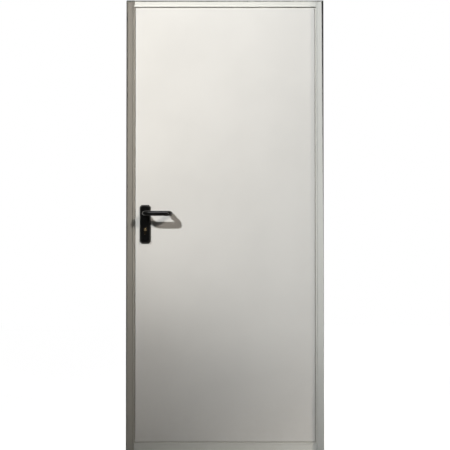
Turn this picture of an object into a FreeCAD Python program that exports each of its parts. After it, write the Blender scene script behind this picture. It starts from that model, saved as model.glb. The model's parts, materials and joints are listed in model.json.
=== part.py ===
import FreeCAD, Part
import Sketcher
import math
import os
import re

# A single-leaf steel utility door in its steel frame, closed.
# X runs across the door, with the lock on the low side and the hinges on the high side.
# Y runs from the push side, in front, to the pull side, where the leaf opens.
# Z runs up. The origin is on the underside of the sill, at the middle of the frame.

SIZES = {
    # Frame: closed folded sections with a raised bead along their inner edge
    "frame_width": 900,
    "frame_height": 2050,
    "frame_depth": 52,
    "jamb_face": 35,
    "head_face": 30,
    "sill_face": 35,
    "frame_wall": 1.5,
    "bead_width": 5,
    "bead_proud": 2,
    "bead_radius": 1.4,
    "fold_radius": 2,
    # Fixing holes in the jambs, a low and a high pair
    "fixing_radius": 4.5,
    "access_radius": 7.5,
    "outer_fixing_end": 200,
    "fixing_under_lever": 375.5,
    "fixing_over_lever": 274.5,
    "cap_radius": 9.5,
    "cap_head": 0.8,
    "cap_rim": 0.3,
    "cap_plug": 4,
    "cap_chamfer": 0.5,
    "cap_fit": 0.1,
    # Seals
    "gasket_width": 9,
    "gasket_setback": 1,
    "gasket_radius": 2.2,
    "seal_gap": 0.3,
    "bottom_seal_width": 24,
    "bottom_seal_gap": 0.5,
    "bottom_seal_inset": 3,
    "bottom_seal_radius": 1.5,
    "strip_setback": 5,
    "strip_depth": 8,
    "strip_radius": 0.8,
    "strip_gap": 0.3,
    "strip_lock_gap": 1.5,
    # Leaf: a front tray closed by a back sheet whose edges fold round as a lip
    "leaf_thickness": 60,
    "leaf_setback": 2,
    "lock_gap": 7.5,
    "hinge_gap": 5,
    "head_gap": 5,
    "sill_gap": 5,
    "lock_lip": 20,
    "hinge_lip": 17,
    "head_lip": 20,
    "lip_thickness": 5,
    "lip_radius": 0.8,
    "skin_wall": 1,
    "skin_radius": 2,
    "middle_sheet": 0.5,
    # Hinges: three knuckles on one pin, with a washer at each joint
    "hinge_end_gap": 155,
    "hinge_length": 160,
    "end_knuckle": 38,
    "knuckle_radius": 10.5,
    "pin_radius": 6,
    "pin_fit": 0.06,
    "pin_head_radius": 8.5,
    "pin_head": 3,
    "pin_to_lip": 12.5,
    "pin_behind": 4,
    "washer": 1.7,
    "washer_gap": 0.3,
    "hinge_plate": 2.5,
    "hinge_plate_width": 18,
    "hinge_foot": 12,
    # Lock and cylinder
    "lever_height": 1075.5,
    "backset": 44.5,
    "cylinder_drop": 72,
    "lock_depth": 30,
    "case_thickness": 15,
    "case_height": 165,
    "case_top_over_lever": 50,
    "case_behind_lever": 32,
    "case_room": 0.5,
    "faceplate_width": 22,
    "faceplate_height": 235,
    "faceplate": 3,
    "faceplate_fit": 0.2,
    "bolt_proud": 1,
    "bolt_length": 34,
    "bolt_fit": 0.3,
    "latch_rise": 20,
    "latch_height": 20,
    "latch_width": 12,
    "dead_drop": 32,
    "dead_height": 34,
    "dead_width": 14,
    "strike_thickness": 2,
    "strike_lap": 4,
    "strike_width": 20,
    "strike_height": 160,
    "strike_room": 4,
    "strike_corner": 3,
    "cylinder_radius": 8.5,
    "cylinder_tail": 10,
    "cylinder_height": 33,
    "cylinder_recess": 3,
    "cylinder_fit": 0.3,
    "keyway_width": 2.2,
    "keyway_height": 8.5,
    "keyway_depth": 3,
    # Handle plates and levers
    "plate_width": 50,
    "plate_height": 176,
    "plate_over_lever": 39.5,
    "plate_thickness": 9,
    "plate_corner": 9,
    "plate_bevel": 7,
    "plate_bevel_depth": 6,
    "neck_radius": 9,
    "neck_fit": 0.08,
    "neck_start": 1,
    "collar_radius": 12,
    "collar": 3,
    "collar_gap": 0.3,
    "lever_radius": 11.5,
    "lever_reach": 57,
    "lever_span": 114,
    "lever_bend": 17,
    "lever_tip_gap": 9,
    "lever_tip_radius": 2.5,
    "spindle": 8,
    "spindle_fit": 0.05,
    "socket_end": 30,
    "spindle_end": 28,
    "spindle_room": 0.5,
}

# Places that several pieces share, each worked out from the sizes
INNER = "(frame_width / 2 - jamb_face)"
FRONT = "(0 - frame_depth / 2)"
BACK = "(frame_depth / 2)"
FACE = f"({FRONT} + bead_proud)"
HEAD_EDGE = "(frame_height - head_face)"
SECTION_MIDDLE = f"(({FACE} + {BACK}) / 2)"
LEAF_FRONT = f"({FRONT} + leaf_setback)"
LEAF_BACK = f"({LEAF_FRONT} + leaf_thickness)"
LEAF_LEFT = f"(lock_gap - {INNER})"
LEAF_RIGHT = f"({INNER} - hinge_gap)"
LEAF_BOTTOM = "(sill_face + sill_gap)"
LEAF_TOP = f"({HEAD_EDGE} - head_gap)"
LIP_FRONT = f"({LEAF_BACK} - lip_thickness)"
LIP_LEFT = f"({LEAF_LEFT} - lock_lip)"
LIP_RIGHT = f"({LEAF_RIGHT} + hinge_lip)"
LIP_TOP = f"({LEAF_TOP} + head_lip)"
CAVITY_FRONT = f"({LEAF_FRONT} + skin_wall)"
CAVITY_BACK = f"({LEAF_BACK} - skin_wall)"
CAVITY_MIDDLE = f"(({CAVITY_FRONT} + {CAVITY_BACK}) / 2)"
STRIP_FRONT = f"({FRONT} + strip_setback)"
STRIP_BACK = f"({STRIP_FRONT} + strip_depth)"
STRIP_LEFT = f"({LEAF_LEFT} - strip_lock_gap)"
STRIP_RIGHT = f"({LEAF_RIGHT} + strip_gap)"
PIN_X = f"({LIP_RIGHT} + pin_to_lip)"
PIN_Y = f"({LEAF_BACK} + pin_behind)"
LEVER_X = f"({LEAF_LEFT} + backset)"
CYLINDER_Z = "(lever_height - cylinder_drop)"
LOCK_Y = f"({LEAF_FRONT} + lock_depth)"
CASE_LEFT = f"({LEAF_LEFT} + faceplate)"
CASE_RIGHT = f"({LEVER_X} + case_behind_lever)"
CASE_TOP = "(lever_height + case_top_over_lever)"
CASE_BOTTOM = f"({CASE_TOP} - case_height)"
LOCK_MIDDLE = f"(({CASE_TOP} + {CASE_BOTTOM}) / 2)"
LATCH_Z = "(lever_height + latch_rise)"
DEAD_Z = "(lever_height - dead_drop)"
HINGE_HEIGHTS = {
    "lower": f"({LEAF_BOTTOM} + hinge_end_gap)",
    "upper": f"({LEAF_TOP} - hinge_end_gap - hinge_length)",
}
FIXING_HEIGHTS = {
    "bottom": "outer_fixing_end",
    "lower": "(lever_height - fixing_under_lever)",
    "upper": "(lever_height + fixing_over_lever)",
    "top": "(frame_height - outer_fixing_end)",
}

# How near two coordinates are to be the same
SAME = 0.01

doc = FreeCAD.newDocument("SteelUtilityDoor")
bodies = []
cuts = []


def make_sheet():
    """Write every size into the spreadsheet, under its own name."""
    sheet = doc.addObject("Spreadsheet::Sheet", "Sizes")
    for row, (name, size) in enumerate(SIZES.items(), start=1):
        sheet.set(f"A{row}", name)
        sheet.set(f"B{row}", str(size))
        sheet.setAlias(f"B{row}", name)
    doc.recompute()
    return sheet


def bound(text):
    """Lead each size's name in an expression with its sheet."""
    return re.sub(r"[a-z_]+", lambda word: f"Sizes.{word[0]}" if word[0] in SIZES else word[0], text)


def worth(text):
    """Work out what an expression comes to now."""
    return float(sizes.evalExpression(bound(text)))


sizes = make_sheet()


def new_body(label, x="0", y="0", z="0", axis=(0, 0, 1), angle=0):
    """Start a sub-part, placed at x, y and z and turned by an angle about an axis."""
    body = doc.addObject("PartDesign::Body", label)
    body.Label = label
    turn = FreeCAD.Rotation(FreeCAD.Vector(*axis), angle)
    body.Placement = FreeCAD.Placement(FreeCAD.Vector(), turn)
    for name, place in (("x", x), ("y", y), ("z", z)):
        body.setExpression(f"Placement.Base.{name}", bound(place))
    bodies.append(body)
    return body


def new_sketch(body, role, offset):
    """Start a sketch on one of the body's own planes, moved along the plane's normal."""
    plane = next(item for item in body.Origin.OriginFeatures if item.Role == role)
    sketch = body.newObject("Sketcher::SketchObject", f"{body.Name}_sketch")
    sketch.AttachmentSupport = [(plane, "")]
    sketch.MapMode = "FlatFace"
    sketch.setExpression("AttachmentOffset.Base.z", bound(offset))
    return sketch


def pin_down(sketch, geometry, point, x, y):
    """Fix a point of the sketch at x and y from the sketch's origin."""
    for kind, place in (("DistanceX", x), ("DistanceY", y)):
        fixed = Sketcher.Constraint(kind, -1, 1, geometry, point, worth(place))
        index = sketch.addConstraint(fixed)
        sketch.setExpression(f"Constraints[{index}]", bound(place))


def draw_outline(sketch, corners):
    """Draw a closed outline of straight runs through the corners."""
    places = [FreeCAD.Vector(worth(x), worth(y), 0) for x, y in corners]
    first = sketch.GeometryCount
    total = len(corners)
    for index, start in enumerate(places):
        sketch.addGeometry(Part.LineSegment(start, places[(index + 1) % total]))
    for index, (x, y) in enumerate(corners):
        following = first + (index + 1) % total
        sketch.addConstraint(Sketcher.Constraint("Coincident", first + index, 2, following, 1))
        pin_down(sketch, first + index, 1, x, y)


def draw_circle(sketch, x, y, radius):
    """Draw a circle about x and y."""
    centre = FreeCAD.Vector(worth(x), worth(y), 0)
    circle = sketch.addGeometry(Part.Circle(centre, FreeCAD.Vector(0, 0, 1), worth(radius)))
    pin_down(sketch, circle, 3, x, y)
    index = sketch.addConstraint(Sketcher.Constraint("Radius", circle, worth(radius)))
    sketch.setExpression(f"Constraints[{index}]", bound(radius))


def box_corners(left, low, right, high):
    """Give the corners of an upright rectangle."""
    return [(left, low), (right, low), (right, high), (left, high)]


def extrude(body, role, low, high, outlines=(), circles=()):
    """Pad outlines and circles from low to high along the plane's axis."""
    offset = f"0 - ({high})" if role == "XZ_Plane" else low
    sketch = new_sketch(body, role, offset)
    for corners in outlines:
        draw_outline(sketch, corners)
    for circle in circles:
        draw_circle(sketch, *circle)
    pad = body.newObject("PartDesign::Pad", f"{body.Name}_pad")
    pad.Profile = sketch
    pad.setExpression("Length", bound(f"({high}) - ({low})"))
    sketch.Visibility = False
    return pad


def cut(body, role, low, high, outlines=(), circles=()):
    """Cut outlines and circles out of the body, from high down to low."""
    base = body.Tip
    offset = f"0 - ({low})" if role == "XZ_Plane" else high
    sketch = new_sketch(body, role, offset)
    for corners in outlines:
        draw_outline(sketch, corners)
    for circle in circles:
        draw_circle(sketch, *circle)
    pocket = body.newObject("PartDesign::Pocket", f"{body.Name}_pocket")
    pocket.Profile = sketch
    pocket.setExpression("Length", bound(f"({high}) - ({low})"))
    cuts.append((pocket, base))
    return pocket


def round_edges(body, radius, wanted, kind="Part::GeomLine"):
    """Round the body's edges of one kind that pass wanted, a test of middle and direction."""
    doc.recompute()
    base = body.Tip
    names = []
    for index, edge in enumerate(base.Shape.Edges, start=1):
        if edge.Curve.TypeId != kind:
            continue
        if wanted(edge.CenterOfMass, edge.tangentAt(edge.FirstParameter)):
            names.append(f"Edge{index}")
    if not names:
        raise ValueError(f"{body.Label} has no edge to round")
    fillet = body.newObject("PartDesign::Fillet", f"{body.Name}_fillet")
    fillet.Base = (base, names)
    fillet.setExpression("Radius", bound(radius))
    return fillet


def bevel_edges(body, across, down, wanted):
    """Bevel the edges that pass wanted, going across the face and down its sides by two lengths."""
    doc.recompute()
    base = body.Tip
    names = []
    for index, edge in enumerate(base.Shape.Edges, start=1):
        if wanted(edge.CenterOfMass):
            names.append(f"Edge{index}")
    if not names:
        raise ValueError(f"{body.Label} has no edge to bevel")
    bevel = body.newObject("PartDesign::Chamfer", f"{body.Name}_bevel")
    bevel.Base = (base, names)
    bevel.ChamferType = "Two distances"
    bevel.setExpression("Size", bound(across))
    bevel.setExpression("Size2", bound(down))
    return bevel


def near(first, second):
    """Tell whether two coordinates are the same."""
    return abs(first - second) < SAME


def along(direction, axis):
    """Tell whether a direction runs along an axis, named x, y or z."""
    return near(abs(getattr(direction, axis)), 1)


def revolve(body, corners):
    """Turn an outline drawn in the XZ plane once round the body's own Z axis."""
    sketch = new_sketch(body, "XZ_Plane", "0")
    draw_outline(sketch, corners)
    turned = body.newObject("PartDesign::Revolution", f"{body.Name}_revolution")
    turned.Profile = sketch
    turned.ReferenceAxis = (sketch, ["V_Axis"])
    turned.Angle = 360
    return turned


def member_section(inner, outer, edge):
    """Give a frame member's outline, as across and depth pairs, from its inner edge to its outer one."""
    return [
        (outer, BACK),
        (outer, FACE),
        (edge, FACE),
        (edge, FRONT),
        (inner, FRONT),
        (inner, BACK),
    ]


def member_hollow(inner, outer, edge, way):
    """Give the hollow inside a frame member, one wall in from its outline."""
    wall_in = f"{outer} - {way} * frame_wall"
    bead_in = f"{edge} - {way} * frame_wall"
    return [
        (wall_in, f"{BACK} - frame_wall"),
        (wall_in, f"{FACE} + frame_wall"),
        (bead_in, f"{FACE} + frame_wall"),
        (bead_in, f"{FRONT} + frame_wall"),
        (f"{inner} + {way} * frame_wall", f"{FRONT} + frame_wall"),
        (f"{inner} + {way} * frame_wall", f"{BACK} - frame_wall"),
    ]


def make_jamb(label, way):
    """Make an upright frame member with closed ends and its fixing holes; way is its side in X."""
    body = new_body(label)
    inner = f"({way} * {INNER})"
    outer = f"({way} * frame_width / 2)"
    edge = f"({inner} + {way} * bead_width)"
    extrude(body, "XY_Plane", "0", "frame_height", [member_section(inner, outer, edge)])
    sides = [worth(inner), worth(outer)]
    front = worth(FRONT)
    round_edges(body, "bead_radius", lambda p, d: along(d, "z") and near(p.y, front))
    round_edges(
        body,
        "fold_radius",
        lambda p, d: along(d, "z") and not near(p.y, front) and any(near(p.x, x) for x in sides),
    )
    hollow = member_hollow(inner, outer, edge, way)
    cut(body, "XY_Plane", "frame_wall", "frame_height - frame_wall", [hollow])
    for height in FIXING_HEIGHTS.values():
        for place, radius in ((outer, "fixing_radius"), (inner, "access_radius")):
            cut(
                body,
                "YZ_Plane",
                f"{place} - frame_wall",
                f"{place} + frame_wall",
                circles=[(SECTION_MIDDLE, height, radius)],
            )
    return body


def make_cross_member(label, inner, outer, way):
    """Make the head or the sill between the jambs; way is its outer side in Z."""
    body = new_body(label)
    edge = f"({inner} + {way} * bead_width)"
    outline = [(y, z) for z, y in member_section(inner, outer, edge)]
    hollow = [(y, z) for z, y in member_hollow(inner, outer, edge, way)]
    extrude(body, "YZ_Plane", f"0 - {INNER}", INNER, [outline, hollow])
    heights = [worth(inner), worth(outer)]
    front = worth(FRONT)
    face = worth(FACE)
    back = worth(BACK)
    round_edges(body, "bead_radius", lambda p, d: along(d, "x") and near(p.y, front))
    round_edges(
        body,
        "fold_radius",
        lambda p, d: along(d, "x")
        and any(near(p.y, y) for y in (face, back))
        and any(near(p.z, z) for z in heights),
    )
    return body


def cut_strike_window(body):
    """Open the lock jamb's inner web where the strike plate shows."""
    cut(
        body,
        "YZ_Plane",
        f"0 - {INNER} - frame_wall",
        f"0 - {INNER} + frame_wall",
        [strike_window("0")],
    )
    doc.recompute()
    half = worth("strike_width") / 2
    middle = worth(LOCK_Y)
    round_edges(body, "strike_corner", lambda p, d: along(d, "x") and near(abs(p.y - middle), half))


def strike_window(grow):
    """Give the window's outline, in Y and Z, grown by an amount on every side."""
    return box_corners(
        f"{LOCK_Y} - strike_width / 2 - {grow}",
        f"{LOCK_MIDDLE} - strike_height / 2 - {grow}",
        f"{LOCK_Y} + strike_width / 2 + {grow}",
        f"{LOCK_MIDDLE} + strike_height / 2 + {grow}",
    )


def bolt_outline(height, width, bolt_height, grow):
    """Give a lock bolt's outline, in Y and Z, grown by an amount on every side."""
    return box_corners(
        f"{LOCK_Y} - {width} / 2 - {grow}",
        f"{height} - {bolt_height} / 2 - {grow}",
        f"{LOCK_Y} + {width} / 2 + {grow}",
        f"{height} + {bolt_height} / 2 + {grow}",
    )


def latch_outline(grow):
    return bolt_outline(LATCH_Z, "latch_width", "latch_height", grow)


def dead_outline(grow):
    return bolt_outline(DEAD_Z, "dead_width", "dead_height", grow)


def make_strike_plate():
    """Make the plate behind the jamb's web, with a window for each bolt."""
    body = new_body("strike_plate")
    right = f"(0 - {INNER} - frame_wall)"
    left = f"({right} - strike_thickness)"
    extrude(body, "YZ_Plane", left, right, [strike_window("strike_lap")])
    openings = [latch_outline("strike_room / 2"), dead_outline("strike_room / 2")]
    cut(body, "YZ_Plane", left, right, openings)
    return body


def make_cap(label, way, height):
    """Make the round plug that closes an access hole, its head towards the leaf."""
    body = new_body(label, f"{way} * {INNER}", SECTION_MIDDLE, height, (0, 1, 0), -90 * int(way))
    revolve(
        body,
        [
            ("0", "0 - cap_plug"),
            ("access_radius - cap_fit - cap_chamfer", "0 - cap_plug"),
            ("access_radius - cap_fit", "cap_chamfer - cap_plug"),
            ("access_radius - cap_fit", "0"),
            ("cap_radius", "0"),
            ("cap_radius", "cap_rim"),
            ("cap_radius - cap_head", "cap_head"),
            ("0", "cap_head"),
        ],
    )
    return body


def make_side_gasket(label, way):
    """Make the seal on a jamb's rear face, under the leaf's lip."""
    body = new_body(label)
    near_edge = f"{way} * ({INNER} + gasket_setback)"
    far_edge = f"{way} * ({INNER} + gasket_setback + gasket_width)"
    crest = f"{LIP_FRONT} - seal_gap"
    top = f"{HEAD_EDGE} + gasket_setback + gasket_width"
    outline = box_corners(near_edge, BACK, far_edge, crest)
    extrude(body, "XY_Plane", "sill_face", top, [outline])
    height = worth(crest)
    round_edges(body, "gasket_radius", lambda p, d: along(d, "z") and near(p.y, height))
    return body


def make_head_gasket():
    """Make the seal on the head's rear face, between the side seals."""
    body = new_body("gasket_head")
    crest = f"{LIP_FRONT} - seal_gap"
    low = f"{HEAD_EDGE} + gasket_setback"
    outline = box_corners(BACK, low, crest, f"{low} + gasket_width")
    half = f"({INNER} + gasket_setback)"
    extrude(body, "YZ_Plane", f"0 - {half}", half, [outline])
    height = worth(crest)
    round_edges(body, "gasket_radius", lambda p, d: along(d, "x") and near(p.y, height))
    return body


def make_upright_strip(label, left, right):
    """Make a soft edge strip on a jamb's inner web, in the gap beside the leaf."""
    body = new_body(label)
    outline = box_corners(left, STRIP_FRONT, right, STRIP_BACK)
    extrude(body, "XY_Plane", "sill_face", HEAD_EDGE, [outline])
    front = worth(STRIP_FRONT)
    round_edges(body, "strip_radius", lambda p, d: along(d, "z") and near(p.y, front))


def make_level_strip(label, low, high):
    """Make a soft edge strip on the head or the sill, between the upright ones."""
    body = new_body(label)
    outline = box_corners(STRIP_FRONT, low, STRIP_BACK, high)
    extrude(body, "YZ_Plane", STRIP_LEFT, STRIP_RIGHT, [outline])
    front = worth(STRIP_FRONT)
    round_edges(body, "strip_radius", lambda p, d: along(d, "x") and near(p.y, front))


def make_edge_strips():
    """Make the four strips that fill the gap round the leaf near its front."""
    make_upright_strip("edge_strip_lock_side", f"0 - {INNER}", STRIP_LEFT)
    make_upright_strip("edge_strip_hinge_side", STRIP_RIGHT, INNER)
    make_level_strip("edge_strip_head", f"{LEAF_TOP} + strip_gap", HEAD_EDGE)
    make_level_strip("edge_strip_sill", "sill_face", f"{LEAF_BOTTOM} - strip_gap")


def make_hinge(name, base):
    """Make one hinge: the frame's two knuckles on their plate, the leaf's knuckle, pin and washers."""
    joint = "(washer + washer_gap)"
    middle_low = f"({base} + end_knuckle + {joint})"
    middle_high = f"({base} + hinge_length - end_knuckle - {joint})"
    end_spans = [
        (base, f"({base} + end_knuckle)"),
        (f"({base} + hinge_length - end_knuckle)", f"({base} + hinge_length)"),
    ]
    bore = (PIN_X, PIN_Y, "pin_radius + pin_fit")

    frame_half = new_body(f"{name}_hinge_frame_half")
    plate = box_corners(
        f"{PIN_X} - hinge_plate_width / 2",
        BACK,
        f"{PIN_X} + hinge_plate_width / 2",
        f"{BACK} + hinge_plate",
    )
    extrude(frame_half, "XY_Plane", base, f"{base} + hinge_length", [plate])
    foot = box_corners(f"{PIN_X} - hinge_foot / 2", BACK, f"{PIN_X} + hinge_foot / 2", PIN_Y)
    for low, high in end_spans:
        extrude(frame_half, "XY_Plane", low, high, [foot])
        extrude(frame_half, "XY_Plane", low, high, circles=[(PIN_X, PIN_Y, "knuckle_radius")])
    cut(frame_half, "XY_Plane", base, f"{base} + hinge_length", circles=[bore])

    leaf_half = new_body(f"{name}_hinge_leaf_half")
    knuckle = (PIN_X, PIN_Y, "knuckle_radius")
    extrude(leaf_half, "XY_Plane", middle_low, middle_high, circles=[knuckle])
    web = box_corners(LIP_RIGHT, LIP_FRONT, f"{PIN_X} - pin_radius", LEAF_BACK)
    extrude(leaf_half, "XY_Plane", middle_low, middle_high, [web])
    cut(leaf_half, "XY_Plane", middle_low, middle_high, circles=[bore])

    for place, low in (("low", end_spans[0][1]), ("high", f"{middle_high} + washer_gap")):
        washer = new_body(f"{name}_hinge_{place}_washer")
        ring = [(PIN_X, PIN_Y, "knuckle_radius"), bore]
        extrude(washer, "XY_Plane", low, f"{low} + washer", circles=ring)

    pin = new_body(f"{name}_hinge_pin", PIN_X, PIN_Y, base)
    revolve(
        pin,
        [
            ("0", "0 - pin_head"),
            ("pin_head_radius - pin_head / 2", "0 - pin_head"),
            ("pin_head_radius", "0 - pin_head / 2"),
            ("pin_head_radius", "0"),
            ("pin_radius", "0"),
            ("pin_radius", "hinge_length"),
            ("pin_head_radius", "hinge_length"),
            ("pin_head_radius", "hinge_length + pin_head / 2"),
            ("pin_head_radius - pin_head / 2", "hinge_length + pin_head"),
            ("0", "hinge_length + pin_head"),
        ],
    )


def leaf_front_view(grow):
    """Give the leaf's body as seen from the front, in X and Z, grown by an amount."""
    return box_corners(
        f"{LEAF_LEFT} - {grow}",
        f"{LEAF_BOTTOM} - {grow}",
        f"{LEAF_RIGHT} + {grow}",
        f"{LEAF_TOP} + {grow}",
    )


def profile_cut(body, low, high, grow, x=LEVER_X, z=CYLINDER_Z):
    """Cut the key cylinder's outline, grown all round, through a piece from low to high in Y."""
    tail = f"(cylinder_tail / 2 + {grow})"
    end = f"({z} + cylinder_radius - cylinder_height + cylinder_tail / 2)"
    sides = box_corners(f"{x} - {tail}", end, f"{x} + {tail}", z)
    cut(body, "XZ_Plane", low, high, circles=[(x, z, f"cylinder_radius + {grow}")])
    cut(body, "XZ_Plane", low, high, [sides])
    cut(body, "XZ_Plane", low, high, circles=[(x, end, tail)])


def make_front_skin():
    """Make the push side's sheet: a tray, open at the back, with rounded front edges."""
    body = new_body("leaf_front_skin")
    extrude(body, "XZ_Plane", LEAF_FRONT, CAVITY_BACK, [leaf_front_view("0")])
    front = worth(LEAF_FRONT)
    round_edges(body, "skin_radius", lambda p, d: near(p.y, front))
    cut(body, "XZ_Plane", CAVITY_FRONT, CAVITY_BACK, [leaf_front_view("(0 - skin_wall)")])
    neck = (LEVER_X, "lever_height", "neck_radius + spindle_room")
    cut(body, "XZ_Plane", LEAF_FRONT, CAVITY_FRONT, circles=[neck])
    profile_cut(body, LEAF_FRONT, CAVITY_FRONT, "cylinder_fit")
    slot = box_corners(
        f"{LOCK_Y} - faceplate_width / 2 - faceplate_fit",
        f"{LOCK_MIDDLE} - faceplate_height / 2 - faceplate_fit",
        f"{LOCK_Y} + faceplate_width / 2 + faceplate_fit",
        f"{LOCK_MIDDLE} + faceplate_height / 2 + faceplate_fit",
    )
    cut(body, "YZ_Plane", LEAF_LEFT, f"{LEAF_LEFT} + skin_wall", [slot])
    return body


def make_back_skin():
    """Make the pull side's sheet, its edges folded round as a hollow lip on three sides."""
    body = new_body("leaf_back_skin")
    lips = box_corners(LIP_LEFT, LEAF_BOTTOM, LIP_RIGHT, LIP_TOP)
    extrude(body, "XZ_Plane", LIP_FRONT, LEAF_BACK, [lips])
    edges = [worth(LIP_LEFT), worth(LIP_RIGHT)]
    top = worth(LIP_TOP)
    back = worth(LEAF_BACK)
    round_edges(
        body,
        "lip_radius",
        lambda p, d: near(p.y, back) and (near(p.z, top) or any(near(p.x, x) for x in edges)),
    )
    cut(body, "XZ_Plane", LIP_FRONT, CAVITY_BACK, [leaf_front_view("0")])
    hollow = box_corners(
        f"{LIP_LEFT} + skin_wall",
        f"{LEAF_BOTTOM} + skin_wall",
        f"{LIP_RIGHT} - skin_wall",
        f"{LIP_TOP} - skin_wall",
    )
    cut(body, "XZ_Plane", f"{LIP_FRONT} + skin_wall", CAVITY_BACK, [hollow])
    neck = (LEVER_X, "lever_height", "neck_radius + spindle_room")
    cut(body, "XZ_Plane", CAVITY_BACK, LEAF_BACK, circles=[neck])
    profile_cut(body, CAVITY_BACK, LEAF_BACK, "cylinder_fit")
    return body


def make_core(label, low, high):
    """Make a layer of the filling, with room for the lock case."""
    body = new_body(label)
    extrude(body, "XZ_Plane", low, high, [leaf_front_view("(0 - skin_wall)")])
    room = box_corners(
        f"{LEAF_LEFT} + skin_wall",
        f"{LOCK_MIDDLE} - faceplate_height / 2 - case_room",
        f"{CASE_RIGHT} + case_room",
        f"{LOCK_MIDDLE} + faceplate_height / 2 + case_room",
    )
    cut(body, "XZ_Plane", low, high, [room])
    return body


def make_cores():
    """Make the two wool layers and the thin sheet between them."""
    sheet_front = f"({CAVITY_MIDDLE} - middle_sheet / 2)"
    sheet_back = f"({CAVITY_MIDDLE} + middle_sheet / 2)"
    make_core("core_front", CAVITY_FRONT, sheet_front)
    make_core("core_middle_sheet", sheet_front, sheet_back)
    make_core("core_back", sheet_back, CAVITY_BACK)


def make_bottom_seal():
    """Make the strip under the leaf that brushes over the sill."""
    body = new_body("leaf_bottom_seal")
    low = "sill_face + bottom_seal_gap"
    outline = box_corners(
        f"{LOCK_Y} - bottom_seal_width / 2",
        low,
        f"{LOCK_Y} + bottom_seal_width / 2",
        LEAF_BOTTOM,
    )
    left = f"{LEAF_LEFT} + bottom_seal_inset"
    extrude(body, "YZ_Plane", left, f"{LEAF_RIGHT} - bottom_seal_inset", [outline])
    underside = worth(low)
    round_edges(body, "bottom_seal_radius", lambda p, d: along(d, "x") and near(p.z, underside))
    return body


def make_lock():
    """Make the mortise lock: case, faceplate and its two bolts, drawn back."""
    case = new_body("lock_case")
    front = f"({LOCK_Y} - case_thickness / 2)"
    back = f"({LOCK_Y} + case_thickness / 2)"
    extrude(case, "XZ_Plane", front, back, [box_corners(CASE_LEFT, CASE_BOTTOM, CASE_RIGHT, CASE_TOP)])
    bolt_end = f"({LEAF_LEFT} - bolt_proud + bolt_length)"
    for outline in (latch_outline, dead_outline):
        cut(case, "YZ_Plane", CASE_LEFT, f"{bolt_end} + bolt_fit", [outline("0")])
    follower = (LEVER_X, "lever_height", "spindle / sqrt(2) + spindle_room")
    cut(case, "XZ_Plane", front, back, circles=[follower])
    profile_cut(case, front, back, "cylinder_fit")

    plate = new_body("lock_faceplate")
    outline = box_corners(
        f"{LOCK_Y} - faceplate_width / 2",
        f"{LOCK_MIDDLE} - faceplate_height / 2",
        f"{LOCK_Y} + faceplate_width / 2",
        f"{LOCK_MIDDLE} + faceplate_height / 2",
    )
    extrude(plate, "YZ_Plane", LEAF_LEFT, CASE_LEFT, [outline])
    holes = [latch_outline("bolt_fit"), dead_outline("bolt_fit")]
    cut(plate, "YZ_Plane", LEAF_LEFT, CASE_LEFT, holes)

    for label, outline in (("latch_bolt", latch_outline), ("dead_bolt", dead_outline)):
        bolt = new_body(label)
        extrude(bolt, "YZ_Plane", f"{LEAF_LEFT} - bolt_proud", bolt_end, [outline("0")])


def make_cylinder():
    """Make the key cylinder, with a keyway in each end."""
    body = new_body("profile_cylinder")
    low = f"({LEAF_FRONT} - plate_thickness + cylinder_recess)"
    high = f"({LEAF_BACK} + plate_thickness - cylinder_recess)"
    tail = "cylinder_tail / 2"
    end = f"({CYLINDER_Z} + cylinder_radius - cylinder_height + cylinder_tail / 2)"
    extrude(body, "XZ_Plane", low, high, circles=[(LEVER_X, CYLINDER_Z, "cylinder_radius")])
    sides = box_corners(f"{LEVER_X} - {tail}", end, f"{LEVER_X} + {tail}", CYLINDER_Z)
    extrude(body, "XZ_Plane", low, high, [sides])
    extrude(body, "XZ_Plane", low, high, circles=[(LEVER_X, end, tail)])
    keyway = box_corners(
        f"{LEVER_X} - keyway_width / 2",
        f"{CYLINDER_Z} - keyway_height / 2",
        f"{LEVER_X} + keyway_width / 2",
        f"{CYLINDER_Z} + keyway_height / 2",
    )
    cut(body, "XZ_Plane", low, f"{low} + keyway_depth", [keyway])
    cut(body, "XZ_Plane", f"{high} - keyway_depth", high, [keyway])
    return body


def plate_outline():
    """Give a handle plate's outline, in X and Z from the lever, with its corners cut off."""
    right = "plate_width / 2"
    low = "plate_over_lever - plate_height"
    high = "plate_over_lever"
    inset = f"({right} - plate_corner)"
    return [
        (f"0 - {inset}", low),
        (inset, low),
        (right, f"{low} + plate_corner"),
        (right, f"{high} - plate_corner"),
        (inset, high),
        (f"0 - {inset}", high),
        (f"0 - {right}", f"{high} - plate_corner"),
        (f"0 - {right}", f"{low} + plate_corner"),
    ]


def make_plate(label, face, angle):
    """Make a long handle plate on one face of the leaf, turned by an angle to face outwards."""
    body = new_body(label, LEVER_X, face, "lever_height", (0, 0, 1), angle)
    outside = "(0 - plate_thickness)"
    extrude(body, "XZ_Plane", outside, "0", [plate_outline()])
    outer = worth(outside)
    bevel_edges(body, "plate_bevel", "plate_bevel_depth", lambda p: near(p.y, outer))
    cut(body, "XZ_Plane", outside, "0", circles=[("0", "0", "neck_radius + neck_fit")])
    profile_cut(body, outside, "0", "cylinder_fit", "0", "(0 - cylinder_drop)")
    return body


def meet(sketch, line, end, arc, place):
    """Join a line's end to the arc's end at a place, both running the same way there."""
    bow = sketch.Geometry[arc]
    at_start = bow.StartPoint.distanceToPoint(place) < bow.EndPoint.distanceToPoint(place)
    sketch.addConstraint(Sketcher.Constraint("Tangent", line, end, arc, 1 if at_start else 2))


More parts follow.
